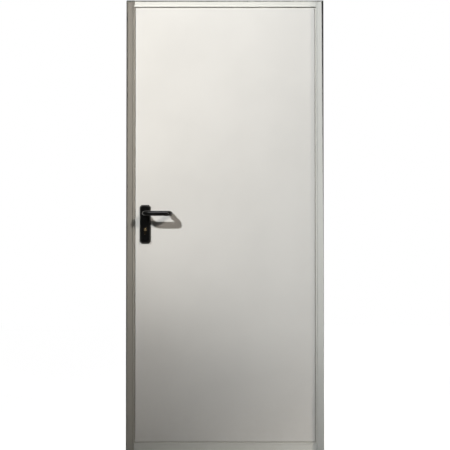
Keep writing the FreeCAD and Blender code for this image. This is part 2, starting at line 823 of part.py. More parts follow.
def draw_lever_path(sketch):
    """Draw the lever's middle line: out, along the grip and back, with an arc at each bend."""
    begin = "0 - plate_thickness - collar_gap"
    grip = "0 - lever_reach"
    finish = "0 - lever_tip_gap"
    bend = worth("lever_bend")
    span = worth("lever_span")
    level = worth(grip)
    turn = level + bend
    inset = bend * (1 - math.sqrt(0.5))
    first = FreeCAD.Vector(0, worth(begin), 0)
    rise = FreeCAD.Vector(0, turn, 0)
    out_middle = FreeCAD.Vector(inset, level + inset, 0)
    grip_start = FreeCAD.Vector(bend, level, 0)
    grip_end = FreeCAD.Vector(span - bend, level, 0)
    back_middle = FreeCAD.Vector(span - inset, level + inset, 0)
    fall = FreeCAD.Vector(span, turn, 0)
    last = FreeCAD.Vector(span, worth(finish), 0)
    out_leg = sketch.addGeometry(Part.LineSegment(first, rise))
    out_bow = sketch.addGeometry(Part.Arc(rise, out_middle, grip_start))
    grip_run = sketch.addGeometry(Part.LineSegment(grip_start, grip_end))
    back_bow = sketch.addGeometry(Part.Arc(grip_end, back_middle, fall))
    back_leg = sketch.addGeometry(Part.LineSegment(fall, last))
    meet(sketch, out_leg, 2, out_bow, rise)
    meet(sketch, grip_run, 1, out_bow, grip_start)
    meet(sketch, grip_run, 2, back_bow, grip_end)
    meet(sketch, back_leg, 1, back_bow, fall)
    pin_down(sketch, out_leg, 1, "0", begin)
    pin_down(sketch, back_leg, 2, "lever_span", finish)
    sketch.addConstraint(Sketcher.Constraint("Vertical", out_leg))
    sketch.addConstraint(Sketcher.Constraint("Horizontal", grip_run))
    sketch.addConstraint(Sketcher.Constraint("Equal", out_bow, back_bow))
    radius = sketch.addConstraint(Sketcher.Constraint("Radius", out_bow, bend))
    sketch.setExpression(f"Constraints[{radius}]", bound("lever_bend"))
    level_at = sketch.addConstraint(Sketcher.Constraint("DistanceY", -1, 1, grip_run, 1, level))
    sketch.setExpression(f"Constraints[{level_at}]", bound(grip))


def make_lever(label, face, angle):
    """Make a U-shaped lever whose free end turns back to the leaf, turned about X to face outwards."""
    body = new_body(label, LEVER_X, face, "lever_height", (1, 0, 0), angle)
    collar_back = "(0 - plate_thickness - collar_gap)"
    section = new_sketch(body, "XZ_Plane", f"0 - {collar_back}")
    draw_circle(section, "0", "0", "lever_radius")
    path = new_sketch(body, "XY_Plane", "0")
    draw_lever_path(path)
    pipe = body.newObject("PartDesign::AdditivePipe", f"{label}_pipe")
    pipe.Profile = section
    pipe.Spine = (path, [f"Edge{number}" for number in range(1, 6)])
    doc.recompute()
    tip = worth("0 - lever_tip_gap")
    round_edges(body, "lever_tip_radius", lambda p, d: near(p.y, tip), "Part::GeomCircle")
    collar = [("0", "0", "collar_radius")]
    extrude(body, "XZ_Plane", f"{collar_back} - collar", collar_back, circles=collar)
    neck = [("0", "0", "neck_radius")]
    extrude(body, "XZ_Plane", collar_back, "0 - neck_start", circles=neck)
    half = "(spindle / 2 + spindle_fit)"
    socket = box_corners(f"0 - {half}", f"0 - {half}", half, half)
    cut(body, "XZ_Plane", "0 - socket_end", "0 - neck_start", [socket])
    return body


def make_spindle():
    """Make the square bar that joins the two levers through the lock."""
    body = new_body("spindle", LEVER_X, "0", "lever_height")
    square = box_corners("0 - spindle / 2", "0 - spindle / 2", "spindle / 2", "spindle / 2")
    extrude(body, "XZ_Plane", f"{LEAF_FRONT} - spindle_end", f"{LEAF_BACK} + spindle_end", [square])
    return body


def check_document():
    """Stop if any object failed, a cut removed nothing or a sub-part isn't one sound solid."""
    for item in doc.Objects:
        if "Invalid" in item.State or "Error" in item.State:
            raise ValueError(f"{item.Label} failed: {item.State}")
    for pocket, base in cuts:
        if pocket.Shape.Volume >= base.Shape.Volume - 0.01:
            raise ValueError(f"{pocket.Label} cuts nothing")
    for body in bodies:
        if body.Shape.isNull() or not body.Shape.isValid() or len(body.Shape.Solids) != 1:
            raise ValueError(f"{body.Label} isn't one sound solid")


def build():
    """Make every sub-part and write it out."""
    lock_jamb = make_jamb("lock_jamb", "-1")
    cut_strike_window(lock_jamb)
    make_jamb("hinge_jamb", "1")
    make_cross_member("head_member", HEAD_EDGE, "frame_height", "1")
    make_cross_member("sill_member", "sill_face", "0", "-1")
    make_strike_plate()
    for side, way in (("lock", "-1"), ("hinge", "1")):
        make_side_gasket(f"gasket_{side}_side", way)
        for place, height in FIXING_HEIGHTS.items():
            make_cap(f"{side}_jamb_{place}_cap", way, height)
    make_head_gasket()
    make_edge_strips()
    for name, base in HINGE_HEIGHTS.items():
        make_hinge(name, base)
    make_front_skin()
    make_back_skin()
    make_cores()
    make_bottom_seal()
    make_lock()
    make_cylinder()
    for side, face, angle in (("front", LEAF_FRONT, 0), ("back", LEAF_BACK, 180)):
        make_plate(f"{side}_plate", face, angle)
        make_lever(f"{side}_lever", face, angle)
    make_spindle()
    doc.recompute()
    check_document()
    os.makedirs("parts", exist_ok=True)
    for body in bodies:
        body.Shape.exportStep(f"parts/{body.Label}.step")
    print(f"{len(bodies)} sub-parts written")


build()
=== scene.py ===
"""The looks of the steel utility door: materials, small details, lamps and camera."""

import json
import math

import bmesh
import bpy
from mathutils import Matrix, Vector


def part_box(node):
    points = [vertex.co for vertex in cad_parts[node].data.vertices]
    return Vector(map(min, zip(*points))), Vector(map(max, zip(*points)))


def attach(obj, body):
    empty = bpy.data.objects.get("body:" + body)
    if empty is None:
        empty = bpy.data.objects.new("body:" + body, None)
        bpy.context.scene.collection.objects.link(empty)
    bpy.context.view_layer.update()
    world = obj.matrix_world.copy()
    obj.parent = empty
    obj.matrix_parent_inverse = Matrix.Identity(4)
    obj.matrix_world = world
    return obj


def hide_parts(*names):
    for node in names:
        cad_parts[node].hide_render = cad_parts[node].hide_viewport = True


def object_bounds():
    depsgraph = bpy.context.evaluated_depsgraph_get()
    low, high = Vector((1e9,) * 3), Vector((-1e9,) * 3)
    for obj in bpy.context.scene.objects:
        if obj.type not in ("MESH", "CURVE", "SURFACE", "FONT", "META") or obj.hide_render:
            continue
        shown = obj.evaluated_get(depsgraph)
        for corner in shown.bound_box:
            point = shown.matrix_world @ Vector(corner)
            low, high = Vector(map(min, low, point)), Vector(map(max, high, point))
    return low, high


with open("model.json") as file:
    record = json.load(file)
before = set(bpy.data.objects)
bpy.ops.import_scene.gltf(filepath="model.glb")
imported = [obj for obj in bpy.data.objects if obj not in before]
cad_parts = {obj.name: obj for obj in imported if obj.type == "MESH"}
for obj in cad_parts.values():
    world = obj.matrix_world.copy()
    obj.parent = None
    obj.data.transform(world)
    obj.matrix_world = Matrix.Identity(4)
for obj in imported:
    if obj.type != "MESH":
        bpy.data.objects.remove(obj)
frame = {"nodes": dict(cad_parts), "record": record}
nodes = frame["nodes"]
cad_low, cad_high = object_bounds()

MM = 0.001
BACKWARD = Vector((0, 1, 0))
UP = Vector((0, 0, 1))


# Places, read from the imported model


def low(node, axis):
    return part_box(node)[0]["xyz".index(axis)]


def high(node, axis):
    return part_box(node)[1]["xyz".index(axis)]


def extent(node, axis):
    return low(node, axis), high(node, axis)


def middle(node, axis):
    return (low(node, axis) + high(node, axis)) / 2


LEAF_FRONT = low("leaf_front_skin", "y")
LEAF_BACK = high("leaf_back_skin", "y")
FRAME_BACK = high("lock_jamb", "y")
LEVER_X = middle("front_plate", "x")
LEVER_Z = middle("spindle", "z")
LOCK_Y = middle("lock_faceplate", "y")
CYLINDER_RADIUS = 8.5 * MM
CYLINDER_X = middle("profile_cylinder", "x")
CYLINDER_Z = high("profile_cylinder", "z") - CYLINDER_RADIUS
PIN_X = middle("lower_hinge_pin", "x")
PIN_Y = middle("lower_hinge_pin", "y")
KNUCKLE_RADIUS = 10.5 * MM
HINGE_PLATE_HALF = 9 * MM
SET_SCREW_DROP = 11 * MM
SET_SCREW_OUT = 19 * MM


# Materials

LEAF_COLOUR = (0.800, 0.803, 0.793)
FRAME_COLOUR = (0.797, 0.813, 0.788)
HANDLE_COLOUR = (0.0050, 0.0050, 0.0052)


def shade(colour, by):
    """A colour with each of its parts multiplied by a number."""
    return tuple(part * by for part in colour)


class Graph:
    """A node tree, built with short calls."""

    def __init__(self, tree, output):
        self.tree = tree
        tree.nodes.clear()
        self.output = self.add(output).inputs["Surface"]

    def add(self, kind, **settings):
        node = self.tree.nodes.new(kind)
        for key, value in settings.items():
            setattr(node, key, value)
        return node

    def link(self, source, target):
        self.tree.links.new(source, target)

    def give(self, target, value):
        """Link an input to a socket, or set it to a plain value."""
        if isinstance(value, bpy.types.NodeSocket):
            self.link(value, target)
        else:
            target.default_value = value

    def axes(self, place):
        """The X, Y and Z of a place."""
        node = self.add("ShaderNodeSeparateXYZ")
        self.link(place, node.inputs[0])
        return node.outputs

    def span(self, value, source, target, smooth=False):
        """Map a value from one (low, high) pair to another, and stop at its ends."""
        node = self.add("ShaderNodeMapRange", interpolation_type="SMOOTHSTEP" if smooth else "LINEAR")
        self.link(value, node.inputs["Value"])
        for name, number in zip(("From Min", "From Max", "To Min", "To Max"), (*source, *target)):
            node.inputs[name].default_value = number
        return node.outputs["Result"]

    def math(self, operation, first, second=0.0):
        node = self.add("ShaderNodeMath", operation=operation)
        self.give(node.inputs[0], first)
        self.give(node.inputs[1], second)
        return node.outputs[0]

    def mix_shaders(self, share, first, second):
        node = self.add("ShaderNodeMixShader")
        for target, source in zip(node.inputs, (share, first, second)):
            self.link(source, target)
        return node.outputs[0]

    def seen_share(self, reflected):
        """One for rays from the camera, and the share reflected for those that metal and glass send on."""
        path = self.add("ShaderNodeLightPath")
        sent = self.math("MAXIMUM", path.outputs["Is Glossy Ray"], path.outputs["Is Transmission Ray"])
        return self.math("MAXIMUM", path.outputs["Is Camera Ray"], self.math("MULTIPLY", sent, reflected))


class Finish(Graph):
    """A material with one principled shader, its patterns placed in object coordinates."""

    def __init__(self, name):
        self.material = bpy.data.materials.new(name)
        self.material.use_nodes = True
        super().__init__(self.material.node_tree, "ShaderNodeOutputMaterial")
        self.shader = self.add("ShaderNodeBsdfPrincipled")
        self.link(self.shader.outputs[0], self.output)
        self.place = self.add("ShaderNodeTexCoord").outputs["Object"]

    def stretched(self, x, y, z):
        node = self.add("ShaderNodeMapping")
        node.inputs["Scale"].default_value = (x, y, z)
        self.link(self.place, node.inputs["Vector"])
        return node.outputs[0]

    def noise(self, scale, detail=2.0, rough=0.5, where=None, distortion=0.0):
        node = self.add("ShaderNodeTexNoise")
        node.inputs["Scale"].default_value = scale
        node.inputs["Detail"].default_value = detail
        node.inputs["Roughness"].default_value = rough
        node.inputs["Distortion"].default_value = distortion
        self.link(where or self.place, node.inputs["Vector"])
        return node.outputs["Fac"]

    def cells(self, scale):
        """Two random shares for each cell of a pattern."""
        pattern = self.add("ShaderNodeTexVoronoi")
        pattern.inputs["Scale"].default_value = scale
        self.link(self.place, pattern.inputs["Vector"])
        split = self.add("ShaderNodeSeparateColor")
        self.link(pattern.outputs["Color"], split.inputs[0])
        return split.outputs[0], split.outputs[1]

    def mix(self, share, first, second):
        """Mix two colours. The mix node has its colours at inputs 6 and 7, and their mix at output 2."""
        node = self.add("ShaderNodeMix", data_type="RGBA")
        self.give(node.inputs["Factor"], share)
        for target, value in ((node.inputs[6], first), (node.inputs[7], second)):
            self.give(target, value if isinstance(value, bpy.types.NodeSocket) else (*value, 1.0))
        return node.outputs[2]

    def bump(self, height, strength, distance, before=None):
        node = self.add("ShaderNodeBump")
        node.inputs["Strength"].default_value = strength
        node.inputs["Distance"].default_value = distance
        self.link(height, node.inputs["Height"])
        if before is not None:
            self.link(before, node.inputs["Normal"])
        return node.outputs["Normal"]

    def finish(self, colour, roughness, normal=None, **fixed):
        self.give(self.shader.inputs["Base Color"], colour)
        self.give(self.shader.inputs["Roughness"], roughness)
        if normal is not None:
            self.link(normal, self.shader.inputs["Normal"])
        for name, value in fixed.items():
            self.shader.inputs[name.replace("_", " ")].default_value = value
        return self.material


def powder_coat(name, colour, dirt):
    """Satin powder coat: fine orange peel, faint cloudiness, and a share of light dirt near the floor."""
    n = Finish(name)
    cloud = n.span(n.noise(2.3, 3.0, 0.55), (0.32, 0.68), (0.0, 1.0), smooth=True)
    speck = n.span(n.noise(420.0, 2.0, 0.6), (0.62, 0.8), (0.0, 0.22))
    near_floor = n.span(n.axes(n.place)[2], (0.03, 0.3), (1.0, 0.0), smooth=True)
    patches = n.span(n.noise(19.0, 5.0, 0.65), (0.35, 0.75), (0.0, 1.0))
    dust = n.math("MULTIPLY", n.math("MULTIPLY", near_floor, patches), dirt)
    tone = n.mix(cloud, shade(colour, 0.965), shade(colour, 1.012))
    tone = n.mix(speck, tone, shade(colour, 0.9))
    tone = n.mix(dust, tone, (0.52, 0.49, 0.43))
    wave = n.bump(n.noise(150.0, 1.0, 0.4), 0.10, 0.4 * MM)
    peel = n.bump(n.noise(620.0, 2.0, 0.5), 0.16, 0.18 * MM, wave)
    rough = n.span(n.noise(7.0, 4.0, 0.6), (0.3, 0.7), (0.38, 0.47))
    return n, tone, rough, peel


def leaf_paint():
    n, tone, rough, normal = powder_coat("leaf_powder_coat", LEAF_COLOUR, 0.10)
    return n.finish(tone, rough, normal, Specular_IOR_Level=0.42)


def frame_paint():
    """The frame's coat, with the hairline of the butt joints at its corners."""
    n, tone, rough, normal = powder_coat("frame_powder_coat", FRAME_COLOUR, 0.14)
    joint_x = high("sill_member", "x")
    sill_top = high("sill_member", "z")
    head_low = low("head_member", "z")
    fade = 0.5 * MM
    x, _, z = n.axes(n.place)
    away = n.math("ABSOLUTE", n.math("SUBTRACT", n.math("ABSOLUTE", x), joint_x))
    line = n.span(away, (0.0, 0.7 * MM), (1.0, 0.0), smooth=True)
    at_head = n.span(z, (head_low - fade, head_low), (0.0, 1.0))
    at_sill = n.span(z, (sill_top, sill_top + fade), (1.0, 0.0))
    line = n.math("MULTIPLY", line, n.math("ADD", at_head, at_sill))
    tone = n.mix(n.math("MULTIPLY", line, 0.75), tone, (0.22, 0.21, 0.19))
    normal = n.bump(n.math("MULTIPLY", line, -1.0), 0.5, 0.6 * MM, normal)
    return n.finish(tone, rough, normal, Specular_IOR_Level=0.42)


def hinge_paint():
    """The frame's coat, rubbed here and there."""
    n, tone, rough, normal = powder_coat("hinge_powder_coat", FRAME_COLOUR, 0.0)
    rub = n.span(n.noise(90.0, 4.0, 0.7), (0.66, 0.78), (0.0, 0.35))
    tone = n.mix(rub, tone, (0.45, 0.44, 0.41))
    return n.finish(tone, rough, normal, Specular_IOR_Level=0.45)


def rubber():
    """Matt black rubber with a light bloom and the drag lines of its die."""
    n = Finish("seal_rubber")
    bloom = n.span(n.noise(60.0, 4.0, 0.6), (0.3, 0.75), (0.0, 1.0))
    tone = n.mix(bloom, (0.018, 0.018, 0.018), (0.042, 0.041, 0.039))
    rough = n.span(n.noise(300.0, 2.0), (0.3, 0.7), (0.58, 0.74))
    drag = n.bump(n.noise(55.0, 3.0, 0.5, n.stretched(40.0, 40.0, 2.0)), 0.1, 0.3 * MM)
    normal = n.bump(n.noise(900.0, 2.0), 0.2, 0.2 * MM, drag)
    return n.finish(tone, rough, normal, Specular_IOR_Level=0.35)


def black_plastic():
    """Satin black moulded plastic with a fine spark-eroded grain and faint handling wear."""
    n = Finish("handle_plastic")
    wear = n.span(n.noise(38.0, 4.0, 0.65), (0.35, 0.8), (0.0, 1.0))
    tone = n.mix(wear, HANDLE_COLOUR, shade(HANDLE_COLOUR, 1.5))
    rough = n.span(n.noise(85.0, 3.0, 0.55), (0.3, 0.7), (0.15, 0.21))
    grain = n.bump(n.noise(1500.0, 2.0, 0.6), 0.10, 0.1 * MM)
    return n.finish(tone, rough, grain, Specular_IOR_Level=0.5)


def metal(name, colour, roughness, brush, spangle=0.0):
    """Brushed or spangled metal: fine lines along one axis, and cells where it is galvanised."""
    n = Finish(name)
    lines = n.noise(60.0, 4.0, 0.7, n.stretched(*brush))
    tone = n.mix(n.span(lines, (0.3, 0.7), (0.0, 1.0)), shade(colour, 0.82), colour)
    rough = n.span(lines, (0.3, 0.7), roughness)
    normal = n.bump(lines, 0.12, 0.1 * MM)
    if spangle:
        darker, rougher = n.cells(210.0)
        tone = n.mix(n.math("MULTIPLY", darker, spangle), tone, shade(colour, 0.6))
        rough = n.math("ADD", rough, n.math("MULTIPLY", rougher, 0.14))
    return n.finish(tone, rough, normal, Metallic=1.0)


def mineral_wool():
    """Yellow fibres in flat layers."""
    n = Finish("core_wool")
    fibre = n.noise(240.0, 6.0, 0.75, n.stretched(1.0, 4.0, 1.6), 1.5)
    layer = n.noise(30.0, 4.0, 0.6, n.stretched(0.6, 6.0, 0.6))
    tone = n.mix(n.span(fibre, (0.3, 0.72), (0.0, 1.0)), (0.52, 0.38, 0.09), (0.83, 0.70, 0.31))
    tone = n.mix(n.span(layer, (0.45, 0.7), (0.0, 0.4)), tone, (0.66, 0.50, 0.16))
    return n.finish(tone, 0.92, n.bump(fibre, 0.7, 2 * MM), Specular_IOR_Level=0.2)


def plain_plastic(name, colour):
    """Matt moulded plastic with a faint change of shade."""
    n = Finish(name)
    tone = n.mix(n.span(n.noise(120.0, 3.0, 0.6), (0.35, 0.7), (0.0, 1.0)), shade(colour, 0.93), colour)
    rough = n.span(n.noise(260.0, 2.0), (0.3, 0.7), (0.42, 0.55))
    grain = n.bump(n.noise(1300.0, 2.0), 0.15, 0.1 * MM)
    return n.finish(tone, rough, grain, Specular_IOR_Level=0.4)


finishes = {
    "leaf_paint": leaf_paint(),
    "frame_paint": frame_paint(),
    "hinge_paint": hinge_paint(),
    "seal_rubber": rubber(),
    "core_wool": mineral_wool(),
    "core_sheet": metal("core_sheet", (0.60, 0.61, 0.62), (0.32, 0.44), (1.0, 1.0, 1.0), 0.5),
    "handle_plastic": black_plastic(),
    "lock_steel": metal("lock_steel", (0.55, 0.55, 0.55), (0.30, 0.42), (30.0, 30.0, 1.0), 0.35),
    "cylinder_brass": metal("cylinder_brass", (0.72, 0.56, 0.33), (0.14, 0.22), (1.0, 1.0, 1.0)),
    "pin_steel": metal("pin_steel", (0.56, 0.56, 0.55), (0.22, 0.34), (2.0, 2.0, 40.0)),
    "cap_plastic": plain_plastic("cap_plastic", (0.76, 0.75, 0.71)),
    "washer_plastic": plain_plastic("washer_plastic", (0.03, 0.03, 0.03)),
    "edge_strip": plain_plastic("edge_strip", (0.62, 0.61, 0.58)),
}

for row in frame["record"]["subparts"]:
    mesh = nodes[row["node"]].data
    mesh.materials.clear()
    mesh.materials.append(finishes[row["material_slot"]])


# Helpers for the meshes


def place_mesh(name, bm, material):
    """Turn a bmesh into an object of the scene."""
    mesh = bpy.data.meshes.new(name)
    bm.to_mesh(mesh)
    bm.free()
    mesh.materials.append(material)
    item = bpy.data.objects.new(name, mesh)
    bpy.context.scene.collection.objects.link(item)
    return item


def add_piece(name, bm, slot, body, smooth):
    """Turn a bmesh into a piece with a slot's finish, riding on a body, smooth below an angle in degrees."""
    bmesh.ops.recalc_face_normals(bm, faces=bm.faces)
    piece = place_mesh(name, bm, finishes[slot])
    polygons = piece.data.polygons
    polygons.foreach_set("use_smooth", [True] * len(polygons))
    piece.data.set_sharp_from_angle(angle=math.radians(smooth))
    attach(piece, body)
    return piece


def facing(direction, point):
    """A matrix that turns local Z to a direction and puts the origin on a point."""
    turn = Vector(direction).to_track_quat("Z", "Y").to_matrix().to_4x4()
    return Matrix.Translation(Vector(point)) @ turn


def turns(steps):
    """The angles of the steps of one turn."""
    return [2 * math.pi * step / steps for step in range(steps)]


def circle(radius, steps=64):
    """The (x, y) points of a circle."""
    return [(radius * math.cos(angle), radius * math.sin(angle)) for angle in turns(steps)]


def ring(bm, place, points, height):
    """New vertices at (x, y) points, all at one height over a place."""
    return [bm.verts.new(place @ Vector((x, y, height))) for x, y in points]


def bridge(bm, rings):
    """Join each ring of vertices to the next."""
    for first, second in zip(rings, rings[1:]):
        for here in range(len(first)):
            after = (here + 1) % len(first)
            bm.faces.new((first[here], first[after], second[after], second[here]))


def cap(bm, rings):
    """Close the first and the last ring."""
    bm.faces.new(rings[0][::-1])
    bm.faces.new(rings[-1])


def sweep(bm, profile, stops, closed=False):
    """Sweep a closed profile of across and out pairs along stops, each a point with its two directions."""
    rings = []
    for point, across, out in stops:
        rings.append([bm.verts.new(Vector(point) + across * a + out * o) for a, o in profile])
    if closed:
        bridge(bm, rings + rings[:1])
    else:
        bridge(bm, rings)
        cap(bm, rings)


# Seals


def make_frame_seal():
    """The bulb seal on the frame's rear face, one length with mitred corners."""
    base_y, top_y = extent("gasket_head", "y")
    rise = top_y - base_y
    inner_x = abs(high("gasket_lock_side", "x"))
    width = abs(low("gasket_lock_side", "x")) - inner_x
    base_z = low("gasket_lock_side", "z")
    top_z = low("gasket_head", "z")
    foot = 1.1 * MM
    bulb_middle = 0.52 * width
    bulb = 0.36 * width
    bulb_steps = 14
    profile = [(0.0, 0.0), (0.0, 0.7 * foot), (0.4 * MM, foot), (1.0 * MM, foot)]
    for step in range(bulb_steps + 1):
        angle = math.pi - math.pi * step / bulb_steps
        bulb_rise = (rise - foot) * math.sin(angle) ** 0.8
        profile.append((bulb_middle + bulb * math.cos(angle), foot + bulb_rise))
    profile += [(width - 0.9 * MM, foot), (width - 0.3 * MM, 0.9 * foot), (width, 0.5 * foot), (width, 0.0)]
    corners = ((-1, base_z, 0), (-1, top_z, 1), (1, top_z, 1), (1, base_z, 0))
    stops = [((side * inner_x, base_y, z), Vector((side, 0, mitre)), BACKWARD) for side, z, mitre in corners]
    bm = bmesh.new()
    sweep(bm, profile, stops)
    piece = add_piece("frame_seal", bm, "seal_rubber", "frame", 50.0)
    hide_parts("gasket_lock_side", "gasket_hinge_side", "gasket_head")


def make_bottom_seal():
    """The carrier strip under the leaf with its two fins."""
    y0, y1 = extent("leaf_bottom_seal", "y")
    z0, z1 = extent("leaf_bottom_seal", "z")
    tip = z0 - z1
    plate = 1.6 * MM
    fin = 1.3 * MM
    half = (y1 - y0) / 2
    profile = [(-half, 0.0), (-half, -plate)]
    for fin_middle in (-0.55 * half, 0.55 * half):
        profile += [
            (fin_middle - 2.2 * fin, -plate),
            (fin_middle - 1.3 * fin, -1.3 * plate),
            (fin_middle - 0.6 * fin, tip + 0.5 * MM),
            (fin_middle - 0.2 * fin, tip),
            (fin_middle + 0.4 * fin, tip + 0.1 * MM),
            (fin_middle + 0.5 * fin, tip + 0.6 * MM),
            (fin_middle + 0.9 * fin, -1.3 * plate),
            (fin_middle + 1.8 * fin, -plate),
        ]
    profile += [(half, -plate), (half, 0.0)]
    stops = [((x, (y0 + y1) / 2, z1), BACKWARD, UP) for x in extent("leaf_bottom_seal", "x")]
    bm = bmesh.new()
    sweep(bm, profile, stops)
    piece = add_piece("leaf_sweep_seal", bm, "seal_rubber", "leaf", 35.0)
    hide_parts("leaf_bottom_seal")


def make_edge_strip():
    """The soft strip in the gap round the leaf: a clip foot, a groove and a rounded nose, all round."""
    front = low("edge_strip_head", "y")
    depth = high("edge_strip_head", "y") - front
    outer_x = high("edge_strip_hinge_side", "x")
    left, right = high("edge_strip_lock_side", "x"), low("edge_strip_hinge_side", "x")
    outer_low, inner_low = extent("edge_strip_sill", "z")
    inner_high, outer_high = extent("edge_strip_head", "z")
    groove = 0.9 * MM
    nose_steps = 12
    profile = [(0.0, depth), (0.0, groove), (0.10, 0.5 * MM), (0.24, 0.4 * MM), (0.30, groove), (0.36, groove)]
    for step in range(nose_steps + 1):
        angle = math.pi * step / nose_steps
        profile.append((0.70 - 0.30 * math.cos(angle), 0.8 * MM * (1 - math.sin(angle) ** 0.7)))
    profile += [(1.0, depth - 1.2 * MM), (0.88, depth - 0.4 * MM), (0.74, depth)]
    corners = (
        ((-outer_x, outer_low), (left, inner_low)),
        ((outer_x, outer_low), (right, inner_low)),
        ((outer_x, outer_high), (right, inner_high)),
        ((-outer_x, outer_high), (left, inner_high)),
    )
    stops = []
    for (outer, outer_z), (inner, inner_z) in corners:
        stops.append(((outer, front, outer_z), Vector((inner - outer, 0, inner_z - outer_z)), BACKWARD))
    bm = bmesh.new()
    sweep(bm, profile, stops, closed=True)
    piece = add_piece("edge_strip_ring", bm, "edge_strip", "frame", 35.0)
    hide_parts("edge_strip_lock_side", "edge_strip_hinge_side", "edge_strip_head", "edge_strip_sill")


make_frame_seal()
make_bottom_seal()
make_edge_strip()


# Cylinder plugs and screws


def keyway(grow, steps=64):
    """The outline of the bent keyway, wider by a margin."""
    half_width = 0.8 * MM + grow
    half_height = 2.9 * MM + grow
    bend = 0.2 * MM
    points = []
    for x, y in circle(1.0, steps):
        reach = min(half_width / max(abs(x), 1e-6), half_height / max(abs(y), 1e-6))
        shift = math.copysign(bend, y) if abs(y) > 0.35 else 0.0
        points.append((reach * x + shift, reach * y))
    return points


def make_plug(name, y, way):
    """The cylinder's turning plug: a ring step round a face with a keyway."""
    radius = 7.4 * MM
    rise = 1.9 * MM
    place = facing((0, way, 0), (CYLINDER_X, y, CYLINDER_Z))
    bm = bmesh.new()
    rings = [
        ring(bm, place, circle(radius + 0.1 * MM), -0.2 * MM),
        ring(bm, place, circle(radius), 0.35 * MM),
        ring(bm, place, circle(radius - 0.25 * MM), 0.55 * MM),
        ring(bm, place, circle(radius - 2.9 * MM), rise - 0.12 * MM),
        ring(bm, place, circle(radius - 3.2 * MM), rise),
        ring(bm, place, keyway(0.25 * MM), rise),
        ring(bm, place, keyway(0.0), 0.8 * rise),
        ring(bm, place, keyway(0.0), -2.4 * MM),
    ]
    bridge(bm, rings)
    bm.faces.new(rings[-1])
    add_piece(name, bm, "cylinder_brass", "leaf", 30.0)


def make_screw_head(name, body, direction, point, radius, rise):
    """A low domed screw head with a cross recess, its rim sunk into what carries it."""
    cross_half, cross_reach, cross_edge = 0.13, 0.56, 0.04
    cross_depth = 2.6 * rise
    place = facing(direction, point)
    bm = bmesh.new()
    rings = [ring(bm, place, circle(radius), -0.3 * rise)]
    for size in (1.0, 0.97, 0.9, 0.8, 0.7, 0.6, 0.52, 0.44, 0.36, 0.28, 0.2, 0.12, 0.05):
        dome = rise * (1 - size**2)
        made = []
        for x, y in circle(size):
            inside = (cross_half - min(abs(x), abs(y))) / cross_edge
            sunk = max(0.0, min(1.0, inside)) if size < cross_reach else 0.0
            height = dome - sunk * cross_depth * (1 - 0.5 * size)
            made.append(bm.verts.new(place @ Vector((radius * x, radius * y, height))))
        rings.append(made)
    bridge(bm, rings)
    cap(bm, rings)
    add_piece(name, bm, "lock_steel", body, 32.0)


def hexagon(half_width, steps):
    """The (x, y) points of a hexagon, at the same angles as a circle's."""
    points = []
    for angle in turns(steps):
        from_flat = (angle + math.pi / 6) % (math.pi / 3) - math.pi / 6
        reach = half_width / math.cos(from_flat)
        points.append((reach * math.cos(angle), reach * math.sin(angle)))
    return points


def make_set_screw(name, y):
    """A small set screw with a hexagon socket, sunk in the underside of a lever's bar."""
    radius = 2.6 * MM
    socket = 0.52 * radius
    rise = 0.12 * MM
    steps = 48
    place = facing(-UP, (LEVER_X, y, LEVER_Z - SET_SCREW_DROP))
    bm = bmesh.new()
    rings = [
        ring(bm, place, circle(radius, steps), -0.4 * MM),
        ring(bm, place, circle(radius, steps), 0.4 * rise),
        ring(bm, place, circle(0.9 * radius, steps), rise),
        ring(bm, place, hexagon(socket, steps), rise),
        ring(bm, place, hexagon(socket, steps), -1.2 * MM),
    ]
    bridge(bm, rings)
    bm.faces.new(rings[-1])
    add_piece(name, bm, "pin_steel", "lever_set", 30.0)


def make_screws():
    """The screws of the back plate, of the lock's faceplate, of the cylinder and of the strike plate."""
    plate_low, plate_high = extent("back_plate", "z")
    face_low, face_high = extent("lock_faceplate", "z")
    strike_low, strike_high = extent("strike_plate", "z")
    plate_y = high("back_plate", "y")
    lock_x = low("lock_faceplate", "x")
    strike_x = high("strike_plate", "x")
    back, left, right = (0, 1, 0), (-1, 0, 0), (1, 0, 0)
    # Each screw: name, body, direction that its head faces, place, and the head's radius and rise in millimetres
    screws = (
        ("back_plate_top_screw", "leaf", back, (LEVER_X, plate_y, plate_high - 11 * MM), 3.6, 0.8),
        ("back_plate_bottom_screw", "leaf", back, (LEVER_X, plate_y, plate_low + 13 * MM), 3.6, 0.8),
        ("faceplate_top_screw", "leaf", left, (lock_x, LOCK_Y, face_high - 9 * MM), 3.8, 0.4),
        ("faceplate_bottom_screw", "leaf", left, (lock_x, LOCK_Y, face_low + 9 * MM), 3.8, 0.4),
        ("cylinder_fixing_screw", "leaf", left, (lock_x, LOCK_Y, CYLINDER_Z - 14 * MM), 4.2, 0.5),
        ("strike_top_screw", "frame", right, (strike_x, LOCK_Y, strike_high - 14 * MM), 3.6, 0.4),
        ("strike_bottom_screw", "frame", right, (strike_x, LOCK_Y, strike_low + 14 * MM), 3.6, 0.4),
    )
    for name, body, direction, point, radius, rise in screws:
        make_screw_head(name, body, direction, point, radius * MM, rise * MM)


make_plug("cylinder_plug_front", low("profile_cylinder", "y"), -1)
make_plug("cylinder_plug_back", high("profile_cylinder", "y"), 1)
make_screws()
make_set_screw("front_lever_set_screw", LEAF_FRONT - SET_SCREW_OUT)
make_set_screw("back_lever_set_screw", LEAF_BACK + SET_SCREW_OUT)


# Welds at the hinges


